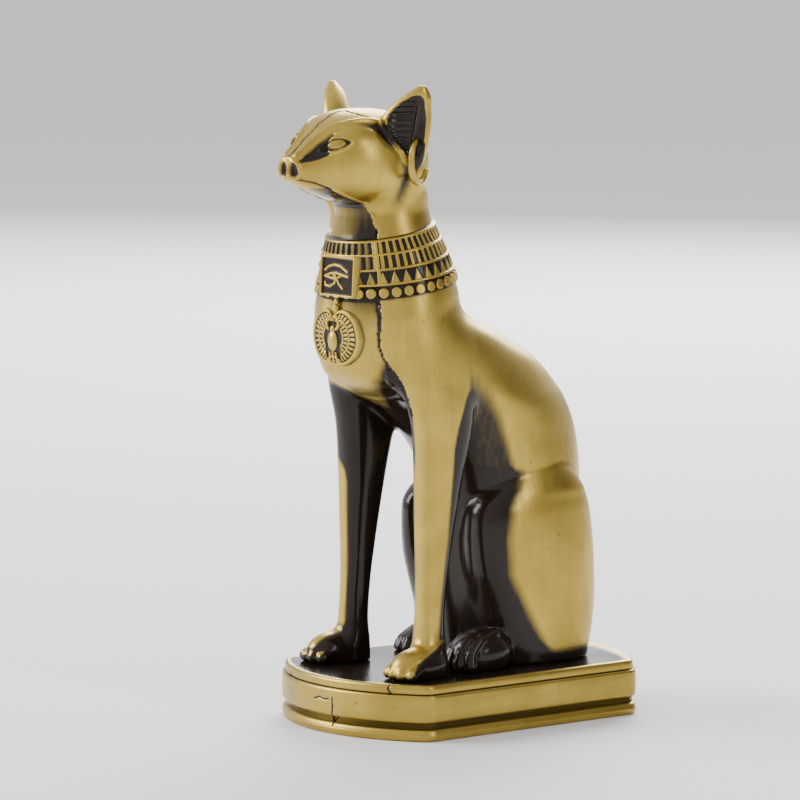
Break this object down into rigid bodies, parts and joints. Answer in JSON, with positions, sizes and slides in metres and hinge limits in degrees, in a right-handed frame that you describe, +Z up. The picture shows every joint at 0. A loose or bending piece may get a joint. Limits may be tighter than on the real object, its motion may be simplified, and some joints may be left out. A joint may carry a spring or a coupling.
{
  "type": "egyptian cat statue",
  "caption": "Seated Egyptian cat statuette in antique brass, with collar, breast ornaments and ear hoops, on a moulded plinth.",
  "frame": {"origin": "centre of the plinth's underside", "axes": "+Z up; the cat faces -Y; +X is the cat's left"},
  "size_m": [0.0562, 0.0931, 0.15],
  "materials": {
    "plinth": "antique brass, brushed bands and a dark polished top",
    "cat": "antique brass, brushed, with a dark glossy patina in the hollows"
  },
  "bodies": {
    "root": {"plinth": "plinth", "cat": "cat"}
  },
  "joints": []
}
